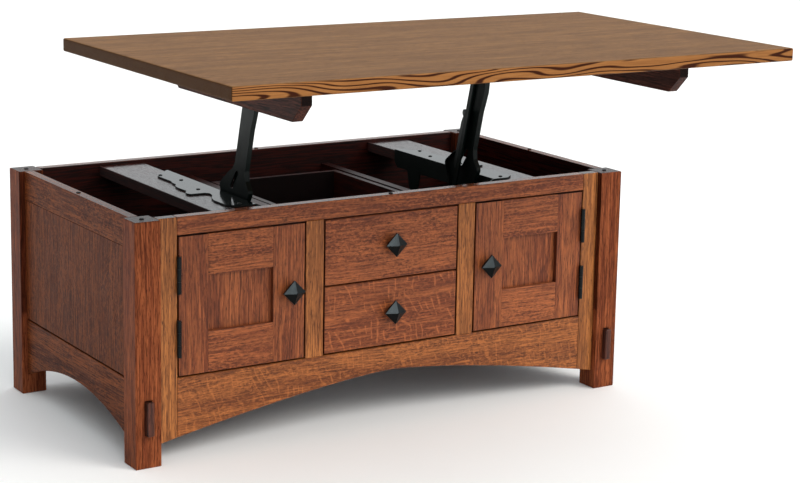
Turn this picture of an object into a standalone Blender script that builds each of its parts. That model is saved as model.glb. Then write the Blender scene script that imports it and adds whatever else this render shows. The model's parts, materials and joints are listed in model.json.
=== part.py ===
"""Lift-top coffee table: an oak cabinet with two doors and two drawers, and a top that swings up
and forward on a pair of steel parallelogram lifts. Metres, +Z up, front towards -Y.

All sizes below are measured in the cabinet's own frame: X from its middle, Y from its middle
(negative towards the front), Z from the floor. The `cabinet` empty shifts that frame so that the
whole object, with its top raised, is centred over the world origin.
"""

from math import atan2, cos, degrees, pi, radians, sin

import bmesh
import bpy
from mathutils import Matrix, Vector

# Clearances
FIT = 0.0003            # between pieces that touch
REVEAL = 0.0035         # round a door or a drawer front, and under an end panel

# Cabinet
CAB_W, CAB_D, CAB_H = 1.136, 0.612, 0.476
LEG = 0.053             # square
RECESS = 0.012          # frame faces behind the leg faces
FRAME_T = 0.022         # thickness of the front and back frames
END_T = 0.020           # thickness of an end panel
STORAGE_Z = 0.164       # top of the arched rails
TOP_RAIL_Z = 0.441      # underside of the front top rail
OUTER_STILE_X = 0.476   # inner edge of an outer stile
INNER_STILE_X = (0.1585, 0.1985)
DRAWER_SPLIT_Z = 0.304  # line between the two drawer fronts
FLOOR_T = 0.012
PARTITION_X = (0.162, 0.181)
PARTITION_TOP = 0.430
RUNNER_X = 0.1445       # inner edge of a drawer runner
BOARD_X = (0.284, 0.381)
BOARD_Z = (0.448, 0.470)
FRONT_ARCH = (0.039, 0.075, 1.4)    # height at the legs, rise, power of the curve
END_ARCH = (0.0415, 0.052, 2.0)
ARCH_STEPS = 24

# Through-tenons of the end rails, which stand proud of the legs
TENON = (0.0142, 0.067)
TENON_Z = 0.0985
TENON_PROUD = 0.012
TENON_DEPTH = 0.014

# Doors and drawers
DOOR_T = 0.020
DOOR_OUTER_STILE, DOOR_INNER_STILE = 0.0615, 0.069
DOOR_RAIL = 0.080
DOOR_PANEL_SET = 0.010  # panel face behind the door face
DOOR_PANEL_T = 0.008
DOOR_PANEL_TONGUE = 0.006
DRAWER_BOX_X = 0.1555
DRAWER_BOX_DEPTH = 0.470
DRAWER_SIDE_T = 0.012
DRAWER_BOTTOM_T = 0.008
KNOB = 0.0345           # side of the square head
KNOB_REACH = 0.027
KNOB_DOOR_X, KNOB_DOOR_Z = 0.2327, 0.305
KNOB_DRAWER_Z = (0.2369, 0.3755)
HINGE_H = 0.072
HINGE_Z = (0.2415, 0.365)
HINGE_R = 0.0045
HINGE_SHIFT = 0.005     # barrel's centre in front of the frame face
LEAF_T = 0.0008
LEAF_DEPTH = 0.018

# Top
TOP_W, TOP_D, TOP_T = 1.219, 0.686, 0.025
REST_GAP = 0.002        # bumpers under the closed top
CLEAT_X, CLEAT_T, CLEAT_H = 0.406, 0.022, 0.065
CLEAT_FRONT, CLEAT_BACK = 0.095, 0.598   # from the top's front edge
CLEAT_CHAMFER = 0.032

# Lift
LIFT_FORWARD, LIFT_UP = 0.425, 0.291
LIFT_LEAN = radians(14.5)                # raised arm, forward of vertical
PIVOT_DROP = 0.020                       # top pivots under the slab
PIVOT_Y_RAISED = -0.2173
LINK_OFFSET = 0.017                      # link's pins from the arm's pins
ARM_X = (0.2655, 0.2755)
ARM_WALL = 0.0025
SLOT_R = 0.0055
LINK_X = (0.2575, 0.2615)
EAR_X = (0.2495, 0.2525)
PLATE_X = (0.2807, 0.2837)
PLATE_T = 0.003
BOLT_R, PIN_R, HOLE_GAP = 0.004, 0.003, 0.0005

# Worked out
FRAME_FRONT = -CAB_D / 2 + RECESS
FRAME_BACK_FACE = FRAME_FRONT + FRAME_T
LEG_IN_X = CAB_W / 2 - LEG
LEG_IN_Y = CAB_D / 2 - LEG
TOP_Z = CAB_H + REST_GAP + LIFT_UP       # underside of the raised slab
TOP_Y = -LIFT_FORWARD                    # middle of the raised slab
CABINET_Y = (LIFT_FORWARD + TOP_D / 2 - CAB_D / 2 - TENON_PROUD) / 2
ARM_LENGTH = (LIFT_FORWARD ** 2 + LIFT_UP ** 2) / (
    2 * (LIFT_FORWARD * sin(LIFT_LEAN) + LIFT_UP * cos(LIFT_LEAN)))
ARM_ANGLE_RAISED = pi / 2 + LIFT_LEAN    # from +Y towards +Z
ARM_ANGLE_CLOSED = atan2(ARM_LENGTH * cos(LIFT_LEAN) - LIFT_UP,
                         LIFT_FORWARD - ARM_LENGTH * sin(LIFT_LEAN))
TOP_PIVOT = (PIVOT_Y_RAISED, TOP_Z - PIVOT_DROP)
BASE_PIVOT = (TOP_PIVOT[0] + ARM_LENGTH * sin(LIFT_LEAN), TOP_PIVOT[1] - ARM_LENGTH * cos(LIFT_LEAN))
LINK_ANGLE = (ARM_ANGLE_RAISED + ARM_ANGLE_CLOSED) / 2 - pi / 2
LINK_SHIFT = (LINK_OFFSET * cos(LINK_ANGLE), LINK_OFFSET * sin(LINK_ANGLE))
LINK_BASE = (BASE_PIVOT[0] + LINK_SHIFT[0], BASE_PIVOT[1] + LINK_SHIFT[1])
LINK_TOP = (TOP_PIVOT[0] + LINK_SHIFT[0], TOP_PIVOT[1] + LINK_SHIFT[1])
HINGE_X = OUTER_STILE_X - REVEAL / 2
HINGE_Y = FRAME_FRONT - HINGE_SHIFT

SIDES = (("left", -1), ("right", 1))


# ---- materials -------------------------------------------------------------------------------

def make_material(name, colour, roughness, metallic=0.0):
    material = bpy.data.materials.new(name)
    material.use_nodes = True
    shader = material.node_tree.nodes["Principled BSDF"]
    shader.inputs["Base Color"].default_value = (*colour, 1)
    shader.inputs["Roughness"].default_value = roughness
    shader.inputs["Metallic"].default_value = metallic
    return material


# ---- mesh helpers ----------------------------------------------------------------------------

def add_object(name, data, parent, material, at=None):
    """Links a mesh or curve as an object under a parent empty. Its points are measured from `at`,
    a point of the cabinet's frame; with none given they are in the cabinet's frame themselves, and
    the object's origin then goes to the parent's pivot."""
    item = bpy.data.objects.new(name, data)
    bpy.context.scene.collection.objects.link(item)
    item.parent = parent
    if at is None:
        data.transform(Matrix.Translation(-frame_point(parent)))
    else:
        item.location = Vector(at) - frame_point(parent)
    data.materials.append(material)
    return item


def add_empty(name, parent, at):
    empty = bpy.data.objects.new(name, None)
    bpy.context.scene.collection.objects.link(empty)
    empty.empty_display_size = 0.05
    if parent:
        empty.parent = parent
        empty.location = Vector(at) - frame_point(parent)
    else:
        empty.location = at
    return empty


def frame_point(empty):
    """An empty's place in the cabinet's frame: the sum of its locations below the cabinet."""
    point = Vector((0, 0, 0))
    while empty and empty.parent:
        point += empty.location
        empty = empty.parent
    return point


def mesh_from(name, build):
    work = bmesh.new()
    build(work)
    bmesh.ops.recalc_face_normals(work, faces=work.faces)
    mesh = bpy.data.meshes.new(name)
    work.to_mesh(mesh)
    work.free()
    return mesh


def bevel(item, width, segments=1, angle=40):
    modifier = item.modifiers.new("eased_edges", "BEVEL")
    modifier.width = width
    modifier.segments = segments
    modifier.limit_method = "ANGLE"
    modifier.angle_limit = radians(angle)
    modifier.use_clamp_overlap = True


def box(name, lows, highs, parent, material, ease=0.0, segments=1):
    """A board between two corners, its origin at its middle."""
    low, high = Vector(lows), Vector(highs)
    size = high - low

    def build(work):
        bmesh.ops.create_cube(work, size=1)
        bmesh.ops.scale(work, vec=size, verts=work.verts)

    item = add_object(name, mesh_from(name, build), parent, material, (low + high) / 2)
    if ease:
        bevel(item, ease, segments)
    return item


def mirrored(low, high, side):
    """The X limits of a piece given for the right-hand side, on either side, in rising order."""
    return (low, high) if side > 0 else (-high, -low)


def prism_mesh(name, outline, axis, low, high):
    """The outline, in the two axes left over, drawn out along one axis."""
    def build(work):
        order = {"x": lambda a, b, c: (c, a, b), "y": lambda a, b, c: (a, c, b),
                 "z": lambda a, b, c: (a, b, c)}[axis]
        face = work.faces.new([work.verts.new(order(a, b, low)) for a, b in outline])
        grown = bmesh.ops.extrude_face_region(work, geom=[face])
        moved = [part for part in grown["geom"] if isinstance(part, bmesh.types.BMVert)]
        bmesh.ops.translate(work, vec=order(0, 0, high - low), verts=moved)

    return mesh_from(name, build)


def prism(name, outline, axis, low, high, parent, material, ease=0.0):
    item = add_object(name, prism_mesh(name, outline, axis, low, high), parent, material)
    if ease:
        bevel(item, ease)
    return item


def rod_mesh(name, radius, low, high, point, sides=20):
    """A round bar along X through a (Y, Z) point."""
    outline = [(point[0] + radius * cos(2 * pi * k / sides), point[1] + radius * sin(2 * pi * k / sides))
               for k in range(sides)]
    return prism_mesh(name, outline, "x", low, high)


def combine(item, mesh, operation):
    """Adds or cuts a helper mesh by a Boolean, in the item's own frame."""
    helper = bpy.data.objects.new(mesh.name, mesh)
    bpy.context.scene.collection.objects.link(helper)
    helper.parent = item.parent
    helper.location = -frame_point(item.parent)
    helper.hide_render = True
    helper.display_type = "WIRE"
    modifier = item.modifiers.new(mesh.name, "BOOLEAN")
    modifier.operation = operation
    modifier.solver = "EXACT"
    modifier.object = helper


def arc(centre, radius, start, end, steps):
    """Points on a circle, both ends included; angles in degrees."""
    return [(centre[0] + radius * cos(radians(start + (end - start) * k / steps)),
             centre[1] + radius * sin(radians(start + (end - start) * k / steps)))
            for k in range(steps + 1)]


# ---- cabinet ---------------------------------------------------------------------------------

def arch_height(place, half, arch):
    """Height of an arched rail's lower edge at a distance from its middle."""
    at_legs, rise, power = arch
    soft = 0.03
    return at_legs + rise * (1 - ((place / half) ** 2 + soft ** 2) ** (power / 2))


def arch_outline(half, arch, top, low=None, high=None):
    """A board from low to high, or right across, with the arch along its lower edge."""
    low = -half if low is None else low
    high = half if high is None else high
    lower = [low + (high - low) * k / ARCH_STEPS for k in range(ARCH_STEPS + 1)]
    return [(high, top), (low, top)] + [(place, arch_height(place, half, arch)) for place in lower]


def build_legs(cabinet, oak, ebony):
    for depth, row in (("front", -1), ("back", 1)):
        for side, sign in SIDES:
            middle = (sign * (CAB_W / 2 - LEG / 2), row * (CAB_D / 2 - LEG / 2))
            name = f"leg_{depth}_{side}"
            leg = box(name, (middle[0] - LEG / 2, middle[1] - LEG / 2, 0),
                      (middle[0] + LEG / 2, middle[1] + LEG / 2, CAB_H), cabinet, oak)
            face = row * CAB_D / 2
            half_w, half_h = TENON[0] / 2, TENON[1] / 2
            mortise = [(middle[0] - half_w - FIT, TENON_Z - half_h - FIT),
                       (middle[0] + half_w + FIT, TENON_Z - half_h - FIT),
                       (middle[0] + half_w + FIT, TENON_Z + half_h + FIT),
                       (middle[0] - half_w - FIT, TENON_Z + half_h + FIT)]
            near, far = sorted((face - row * TENON_DEPTH, face + row * TENON_DEPTH))
            combine(leg, prism_mesh(f"{name}_mortise", mortise, "y", near, far), "DIFFERENCE")
            bevel(leg, 0.0015)
            near, far = sorted((face - row * (TENON_DEPTH - FIT), face + row * TENON_PROUD))
            box(f"tenon_{depth}_{side}", (middle[0] - half_w, near, TENON_Z - half_h),
                (middle[0] + half_w, far, TENON_Z + half_h), cabinet, ebony, 0.002)


def build_front_frame(cabinet, oak):
    """Outer stiles over the whole height, cut off along the arch; rails and inner stiles between."""
    near, far = FRAME_FRONT, FRAME_BACK_FACE
    edge = LEG_IN_X - FIT
    rail_end = OUTER_STILE_X - FIT
    box("front_top_rail", (-rail_end, near, TOP_RAIL_Z), (rail_end, far, CAB_H), cabinet, oak, 0.001)
    prism("front_arch_rail", arch_outline(edge, FRONT_ARCH, STORAGE_Z - FIT, -rail_end, rail_end), "y",
          near, far, cabinet, oak, 0.001)
    for side, sign in SIDES:
        outer = arch_outline(edge, FRONT_ARCH, CAB_H, *mirrored(OUTER_STILE_X, edge, sign))
        prism(f"front_outer_stile_{side}", outer, "y", near, far, cabinet, oak, 0.001)
        left, right = mirrored(*INNER_STILE_X, sign)
        box(f"front_inner_stile_{side}", (left, near, STORAGE_Z), (right, far, TOP_RAIL_Z - FIT),
            cabinet, oak, 0.001)


def build_ends_and_back(cabinet, oak):
    outer = CAB_W / 2 - RECESS
    edge = LEG_IN_Y - FIT
    for side, sign in SIDES:
        left, right = mirrored(outer - END_T, outer, sign)
        box(f"end_panel_{side}", (left, -edge, STORAGE_Z), (right, edge, CAB_H), cabinet, oak, 0.001)
        prism(f"end_arch_rail_{side}", arch_outline(edge, END_ARCH, STORAGE_Z - REVEAL), "x",
              left, right, cabinet, oak, 0.001)
    edge = LEG_IN_X - FIT
    near, far = -FRAME_BACK_FACE, -FRAME_FRONT
    box("back_panel", (-edge, near, STORAGE_Z), (edge, far, CAB_H), cabinet, oak, 0.001)
    prism("back_arch_rail", arch_outline(edge, FRONT_ARCH, STORAGE_Z - REVEAL), "y", near, far,
          cabinet, oak, 0.001)


def build_inside(cabinet, oak):
    depth = -FRAME_BACK_FACE - FIT
    wide = CAB_W / 2 - RECESS - END_T - FIT
    notch_x, notch_y = LEG_IN_X - FIT, LEG_IN_Y - FIT
    corner = [(notch_x, -depth), (notch_x, -notch_y), (wide, -notch_y), (wide, notch_y),
              (notch_x, notch_y), (notch_x, depth)]
    outline = corner + [(-x, y) for x, y in reversed(corner)]
    prism("cabinet_floor", outline, "z", STORAGE_Z - FLOOR_T, STORAGE_Z, cabinet, oak)
    for side, sign in SIDES:
        low, high = PARTITION_X
        runners = []
        for shelf in (STORAGE_Z + 0.009, DRAWER_SPLIT_Z + 0.007):
            runners += [(low, shelf - 0.006), (RUNNER_X, shelf - 0.006), (RUNNER_X, shelf), (low, shelf)]
        outline = ([(high, PARTITION_TOP), (high, STORAGE_Z + FIT), (low, STORAGE_Z + FIT)]
                   + runners + [(low, PARTITION_TOP)])
        prism(f"partition_{side}", [(sign * x, z) for x, z in outline], "y",
              FRAME_BACK_FACE + FIT, depth, cabinet, oak)
        left, right = mirrored(*BOARD_X, sign)
        box(f"support_board_{side}", (left, -depth, BOARD_Z[0]), (right, depth, BOARD_Z[1]),
            cabinet, oak, 0.001)


# ---- doors and drawers -----------------------------------------------------------------------

def build_knob(name, x, z, parent, bronze):
    """A square pyramid head set on its corner, on a short square stem."""
    def build(work):
        rings = ((0.009, 0.0), (0.006, 0.004), (0.006, 0.011), (KNOB / 2, 0.013),
                 (KNOB / 2, 0.0170), (0.0015, KNOB_REACH))
        rows = []
        for half, reach in rings:
            rows.append([work.verts.new((a * half, -reach, b * half))
                         for a, b in ((-1, -1), (1, -1), (1, 1), (-1, 1))])
        for first, second in zip(rows, rows[1:]):
            for k in range(4):
                work.faces.new((first[k], first[(k + 1) % 4], second[(k + 1) % 4], second[k]))
        work.faces.new(rows[0])
        work.faces.new(rows[-1])
        bmesh.ops.rotate(work, matrix=Matrix.Rotation(pi / 4, 3, "Y"), verts=work.verts)

    add_object(name, mesh_from(name, build), parent, bronze, (x, FRAME_FRONT - FIT, z))


def build_hinge(name, sign, z, cabinet, door, bronze):
    """A butt hinge: the frame leaf carries the two end knuckles, the door leaf the middle one."""
    knuckle = HINGE_H / 3
    ring = [(sign * x, y) for x, y in arc((HINGE_X, HINGE_Y), HINGE_R, 18, 342, 9)]
    reach = HINGE_R + 2 * FIT
    clear = [(sign * (HINGE_X + x), HINGE_Y + y)
             for x, y in ((-reach, -reach), (reach, -reach), (reach, reach), (-reach, reach))]
    bottom, top = z - HINGE_H / 2, z + HINGE_H / 2
    back = FRAME_FRONT + LEAF_DEPTH
    ends = ((bottom, bottom + knuckle - FIT), (top - knuckle + FIT, top))
    middle = ((bottom + knuckle, top - knuckle),)
    past_ends = ((bottom - FIT, bottom + knuckle), (top - knuckle, top + FIT))
    past_middle = ((bottom + knuckle - FIT, top - knuckle + FIT),)
    frame_leaf = (OUTER_STILE_X - FIT - LEAF_T, OUTER_STILE_X - FIT)
    door_leaf = (OUTER_STILE_X - REVEAL + FIT, OUTER_STILE_X - REVEAL + FIT + LEAF_T)
    for kind, parent, leaf_x, knuckles, gaps in (
            ("frame", cabinet, frame_leaf, ends, past_middle),
            ("door", door, door_leaf, middle, past_ends)):
        mesh_name = f"hinge_{kind}_{name}"
        left, right = mirrored(*leaf_x, sign)
        leaf = prism_mesh(mesh_name, [(left, HINGE_Y), (right, HINGE_Y), (right, back), (left, back)],
                          "z", bottom, top)
        item = add_object(mesh_name, leaf, parent, bronze)
        for k, (low, high) in enumerate(knuckles):
            combine(item, prism_mesh(f"{mesh_name}_knuckle_{k}", ring, "z", low, high), "UNION")
        for k, (low, high) in enumerate(gaps):
            combine(item, prism_mesh(f"{mesh_name}_gap_{k}", clear, "z", low, high), "DIFFERENCE")


def build_door(side, sign, door, cabinet, oak, panel_oak, bronze):
    low_x, high_x = INNER_STILE_X[1] + REVEAL, OUTER_STILE_X - REVEAL
    low_z, high_z = STORAGE_Z + REVEAL, TOP_RAIL_Z - REVEAL
    near, far = FRAME_FRONT, FRAME_FRONT + DOOR_T
    left, right = mirrored(low_x, high_x, sign)
    frame = box(f"door_frame_{side}", (left, near, low_z), (right, far, high_z), door, oak)
    window_x = mirrored(low_x + DOOR_INNER_STILE, high_x - DOOR_OUTER_STILE, sign)
    window_z = (low_z + DOOR_RAIL, high_z - DOOR_RAIL)
    tongue = DOOR_PANEL_TONGUE
    groove = (near + DOOR_PANEL_SET, near + DOOR_PANEL_SET + DOOR_PANEL_T)
    for cut, grow, span in (("window", 0.0, (near - 0.01, far + 0.01)),
                            ("groove", tongue + FIT, (groove[0] - FIT, groove[1] + FIT))):
        outline = [(window_x[0] - grow, window_z[0] - grow), (window_x[1] + grow, window_z[0] - grow),
                   (window_x[1] + grow, window_z[1] + grow), (window_x[0] - grow, window_z[1] + grow)]
        combine(frame, prism_mesh(f"door_{side}_{cut}", outline, "y", *span), "DIFFERENCE")
        if cut == "window":
            bevel(frame, 0.001)
    box(f"door_panel_{side}", (window_x[0] - tongue, groove[0], window_z[0] - tongue),
        (window_x[1] + tongue, groove[1], window_z[1] + tongue), door, panel_oak)
    build_knob(f"door_knob_{side}", sign * KNOB_DOOR_X, KNOB_DOOR_Z, door, bronze)
    for level, z in zip(("lower", "upper"), HINGE_Z):
        build_hinge(f"{side}_{level}", sign, z, cabinet, door, bronze)


def build_drawer(name, low_z, high_z, knob_z, drawer, oak, box_oak, bronze):
    edge = INNER_STILE_X[0] - REVEAL
    near, far = FRAME_FRONT, FRAME_FRONT + DOOR_T
    box(f"{name}_drawer_front", (-edge, near, low_z), (edge, far, high_z), drawer, oak, 0.001)
    back = far + FIT + DRAWER_BOX_DEPTH
    low, high = low_z + 0.006, high_z - 0.0085
    tray = box(f"{name}_drawer_box", (-DRAWER_BOX_X, far + FIT, low), (DRAWER_BOX_X, back, high),
               drawer, box_oak)
    inner = DRAWER_BOX_X - DRAWER_SIDE_T
    outline = [(-inner, low + DRAWER_BOTTOM_T), (inner, low + DRAWER_BOTTOM_T),
               (inner, high + 0.01), (-inner, high + 0.01)]
    combine(tray, prism_mesh(f"{name}_drawer_hollow", outline, "y", far + FIT + DRAWER_SIDE_T,
                             back - DRAWER_SIDE_T), "DIFFERENCE")
    build_knob(f"{name}_drawer_knob", 0.0, knob_z, drawer, bronze)


# ---- lift ------------------------------------------------------------------------------------

def along_arm(u, v):
    """A (Y, Z) point u along the raised arm from its base pivot, and v in front of its middle line."""
    c, s = cos(ARM_ANGLE_RAISED), sin(ARM_ANGLE_RAISED)
    return (BASE_PIVOT[0] + u * c - v * s, BASE_PIVOT[1] + u * s + v * c)


def arm_outline(inset):
    """A long plate, tapered to the top pivot, that spreads above the base pivot into a toe in front
    and a longer heel behind."""
    ahead, behind = 0.0235 - inset, 0.0205 - inset
    tip, foot, corner = 0.016 - inset, 0.028 - inset, 0.012 - inset
    top = arc((ARM_LENGTH, 0), tip, -90, 90, 6)
    front = [(0.300, 0.0205 - inset), (0.272, 0.0258 - inset), (0.250, 0.0282 - inset),
             (0.228, 0.0262 - inset), (0.205, ahead), (0.118, ahead), (0.099, 0.0300 - inset)]
    toe = arc((0.078, 0.0365), corner, 30, 120, 4)
    bottom = [(0.040, 0.0385 - inset)] + arc((0, 0), foot, 90, 215, 7)
    heel = arc((0.051, -0.0575), corner, 230, 318, 4)
    back = [(0.086, -0.0445 + inset), (0.104, -0.0265 + inset), (0.120, -behind), (0.300, -behind)]
    return [along_arm(u, v) for u, v in top + front + toe + bottom + heel + back]


def slot_outline():
    """A slanted slot with round ends, through the web between the arm's blade and its heel."""
    ends = ((0.067, -0.0215), (0.100, -0.0080))
    turn = degrees(atan2(ends[1][1] - ends[0][1], ends[1][0] - ends[0][0]))
    points = arc(ends[1], SLOT_R, turn - 90, turn + 90, 5) + arc(ends[0], SLOT_R, turn + 90, turn + 270, 5)
    return [along_arm(u, v) for u, v in points]


def build_arm(side, sign, arms, steel):
    low, high = mirrored(*ARM_X, sign)
    arm = add_object(f"lift_arm_{side}", prism_mesh(f"lift_arm_{side}", arm_outline(0.0), "x", low, high),
                     arms, steel)
    hollow = mirrored(ARM_X[0] - 0.002, ARM_X[1] - ARM_WALL, sign)
    combine(arm, prism_mesh(f"arm_{side}_hollow", arm_outline(ARM_WALL), "x", *hollow), "DIFFERENCE")
    through = mirrored(ARM_X[0] - 0.002, ARM_X[1] + 0.002, sign)
    combine(arm, prism_mesh(f"arm_{side}_slot", slot_outline(), "x", *through), "DIFFERENCE")
    for end, pivot in (("base", BASE_PIVOT), ("top", TOP_PIVOT)):
        combine(arm, rod_mesh(f"arm_{side}_{end}_hole", BOLT_R + HOLE_GAP, *through, pivot), "DIFFERENCE")


def build_link(side, sign, links, steel):
    """The level link: an eye at each pin, and a tail below the base pin that takes the spring."""
    eye, half, tail, tail_r = 0.008, 0.0055, -0.045, 0.007
    outline = (arc((ARM_LENGTH, 0), eye, -135, 135, 9) + [(ARM_LENGTH - 0.02, half), (0.02, half)]
               + arc((0, 0), eye, 135 - 45, 135, 2) + [(-0.012, half)]
               + arc((tail, 0), tail_r, 90, 270, 6)
               + [(-0.012, -half)] + arc((0, 0), eye, 225, 270, 2)
               + [(0.02, -half), (ARM_LENGTH - 0.02, -half)])
    shift = Vector(LINK_SHIFT)
    points = [Vector(along_arm(u, v)) + shift for u, v in outline]
    low, high = mirrored(*LINK_X, sign)
    link = add_object(f"level_link_{side}", prism_mesh(f"level_link_{side}", points, "x", low, high),
                      links, steel)
    through = mirrored(LINK_X[0] - 0.002, LINK_X[1] + 0.002, sign)
    tail_point = Vector(along_arm(tail, 0)) + shift
    for end, pivot, radius in (("base", LINK_BASE, PIN_R + HOLE_GAP), ("top", LINK_TOP, PIN_R + HOLE_GAP),
                               ("tail", tail_point, 0.003)):
        combine(link, rod_mesh(f"link_{side}_{end}_hole", radius, *through, pivot), "DIFFERENCE")


BRACKET_Y = (-0.240, 0.150)
EAR_Z = (0.392, 0.455)
SPRING_ANCHOR = (0.070, 0.378)
FLANGE_EDGE = ((0.316, -0.240), (0.337, -0.222), (0.337, -0.172), (0.331, -0.150), (0.318, -0.128),
               (0.3137, -0.108), (0.320, -0.100), (0.350, -0.098), (0.3545, -0.090), (0.352, -0.078),
               (0.3435, -0.066), (0.3445, -0.030), (0.342, -0.012), (0.333, 0.004), (0.332, 0.022),
               (0.327, 0.038), (0.3276, 0.100), (0.322, 0.110))


def build_base_bracket(side, sign, cabinet, steel):
    """A flange on the support board, a plate down its inner edge, and an ear that makes a clevis."""
    flange_z = BOARD_Z[1] + FIT
    flange = [(PLATE_X[0], BRACKET_Y[0])] + list(FLANGE_EDGE) + [(PLATE_X[0] + 0.003, BRACKET_Y[1]),
                                                                  (PLATE_X[0], BRACKET_Y[1])]
    bracket = prism(f"base_bracket_{side}", [(sign * x, y) for x, y in flange], "z", flange_z,
                    flange_z + PLATE_T, cabinet, steel)
    top = flange_z + PLATE_T - 0.0005
    lug, anchor = 0.012, SPRING_ANCHOR
    plate = ([(BRACKET_Y[0], top), (BRACKET_Y[0], EAR_Z[0] + 0.006), (BRACKET_Y[0] + 0.006, EAR_Z[0]),
              (-0.105, EAR_Z[0]), (-0.080, 0.434), (anchor[0] - lug - 0.014, 0.434)]
             + arc(anchor, lug, 180, 360, 6)
             + [(anchor[0] + lug + 0.014, 0.434), (BRACKET_Y[1] - 0.012, 0.434),
                (BRACKET_Y[1], 0.446), (BRACKET_Y[1], top)])
    ear = ([(BRACKET_Y[0], EAR_Z[1]), (BRACKET_Y[0], EAR_Z[0])] + [(-0.118, EAR_Z[0])]
           + arc((-0.118, 0.4085), 0.0165, -90, 60, 5) + [(-0.135, EAR_Z[1] - 0.014), (-0.170, EAR_Z[1])])
    combine(bracket, prism_mesh(f"bracket_{side}_plate", plate, "x", *mirrored(*PLATE_X, sign)), "UNION")
    combine(bracket, prism_mesh(f"bracket_{side}_ear", ear, "x", *mirrored(*EAR_X, sign)), "UNION")
    web = [(EAR_X[0], EAR_Z[0]), (PLATE_X[1], EAR_Z[0]), (PLATE_X[1], top), (PLATE_X[0], top),
           (EAR_X[0], EAR_Z[1])]
    combine(bracket, prism_mesh(f"bracket_{side}_web", [(sign * x, z) for x, z in web], "y",
                                BRACKET_Y[0], BRACKET_Y[0] + PLATE_T), "UNION")
    stud = mirrored(EAR_X[0] + 0.001, LINK_X[1] + 0.001, sign)
    combine(bracket, rod_mesh(f"bracket_{side}_stud", PIN_R, *stud, LINK_BASE), "UNION")
    anchor_pin = mirrored(LINK_X[0] - 0.001, PLATE_X[0] + 0.001, sign)
    combine(bracket, rod_mesh(f"bracket_{side}_anchor", 0.0025, *anchor_pin, anchor, 12), "UNION")
    for limits, label in ((PLATE_X, "plate"), (EAR_X, "ear")):
        through = mirrored(limits[0] - 0.001, limits[1] + 0.001, sign)
        combine(bracket, rod_mesh(f"bracket_{side}_{label}_hole", BOLT_R + FIT, *through, BASE_PIVOT),
                "DIFFERENCE")


def build_pivot_bolt(side, sign, cabinet, steel):
    shaft = mirrored(EAR_X[0] - 0.001, PLATE_X[1] - FIT, sign)
    bolt = add_object(f"pivot_bolt_{side}", rod_mesh(f"pivot_bolt_{side}", BOLT_R, *shaft, BASE_PIVOT),
                      cabinet, steel)
    head = mirrored(EAR_X[0] - FIT - 0.0045, EAR_X[0] - FIT, sign)
    combine(bolt, rod_mesh(f"bolt_{side}_head", 0.0075, *head, BASE_PIVOT, 6), "UNION")


def build_spring(side, sign, cabinet, steel):
    """A counterbalance coil from the bracket's rear pin to beside the level link's tail."""
    wire, radius, turns, steps = 0.0009, 0.0040, 20, 8
    middle = (LINK_X[0] + LINK_X[1]) / 2
    tail = Vector(along_arm(-0.045, 0)) + Vector(LINK_SHIFT)
    start, end = Vector((tail[0] + 0.020, tail[1] + 0.002)), Vector((SPRING_ANCHOR[0] - 0.013,
                                                                      SPRING_ANCHOR[1]))
    near = [(LINK_X[0] - 0.0025, tail[0], tail[1]), (LINK_X[0] - 0.0025, tail[0] + 0.006, tail[1]),
            (middle, tail[0] + 0.013, tail[1] + 0.001)]
    coil = []
    for k in range(turns * steps + 1):
        t = k / (turns * steps)
        turn = 2 * pi * k / steps
        coil.append((middle + radius * sin(turn), start[0] + (end[0] - start[0]) * t,
                     start[1] + (end[1] - start[1]) * t + radius * (cos(turn))))
    far = [(middle, end[0] + 0.004, end[1] + 0.001), (middle, SPRING_ANCHOR[0] - 0.0045, end[1])]
    curve = bpy.data.curves.new(f"lift_spring_{side}", "CURVE")
    curve.dimensions = "3D"
    curve.bevel_depth = wire
    curve.bevel_resolution = 0
    curve.use_fill_caps = True
    points = near + coil + far
    spline = curve.splines.new("POLY")
    spline.points.add(len(points) - 1)
    for slot, (x, y, z) in zip(spline.points, points):
        slot.co = (sign * x, y, z, 1)
    add_object(f"lift_spring_{side}", curve, cabinet, steel)


def build_top_bracket(side, sign, top, steel):
    """An angle under the slab, with a pin for the arm and a pin for the level link."""
    high = TOP_Z - FIT
    span = (TOP_PIVOT[0] - 0.045, TOP_PIVOT[0] + 0.045)
    flange = [(EAR_X[1], span[0]), (EAR_X[1], span[1]), (EAR_X[1] - 0.030, span[1]),
              (EAR_X[1] - 0.038, span[1] - 0.012), (EAR_X[1] - 0.038, span[0] + 0.012),
              (EAR_X[1] - 0.030, span[0])]
    bracket = prism(f"top_bracket_{side}", [(sign * x, y) for x, y in flange], "z", high - PLATE_T,
                    high, top, steel)
    low = LINK_TOP[1] - 0.013
    plate = [(span[0], high - 0.0005), (span[0], high - 0.012), (span[0] + 0.014, low + 0.008),
             (span[0] + 0.024, low), (span[1] - 0.014, low), (span[1] - 0.006, low + 0.008),
             (span[1], high - 0.012), (span[1], high - 0.0005)]
    combine(bracket, prism_mesh(f"top_{side}_plate", plate, "x", *mirrored(*EAR_X, sign)), "UNION")
    for label, radius, end, pivot in (("arm_pin", BOLT_R, ARM_X[1] + 0.001, TOP_PIVOT),
                                      ("link_pin", PIN_R, LINK_X[1] + 0.001, LINK_TOP)):
        pin = mirrored(EAR_X[1] - 0.001, end, sign)
        combine(bracket, rod_mesh(f"top_{side}_{label}", radius, *pin, pivot), "UNION")


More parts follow.
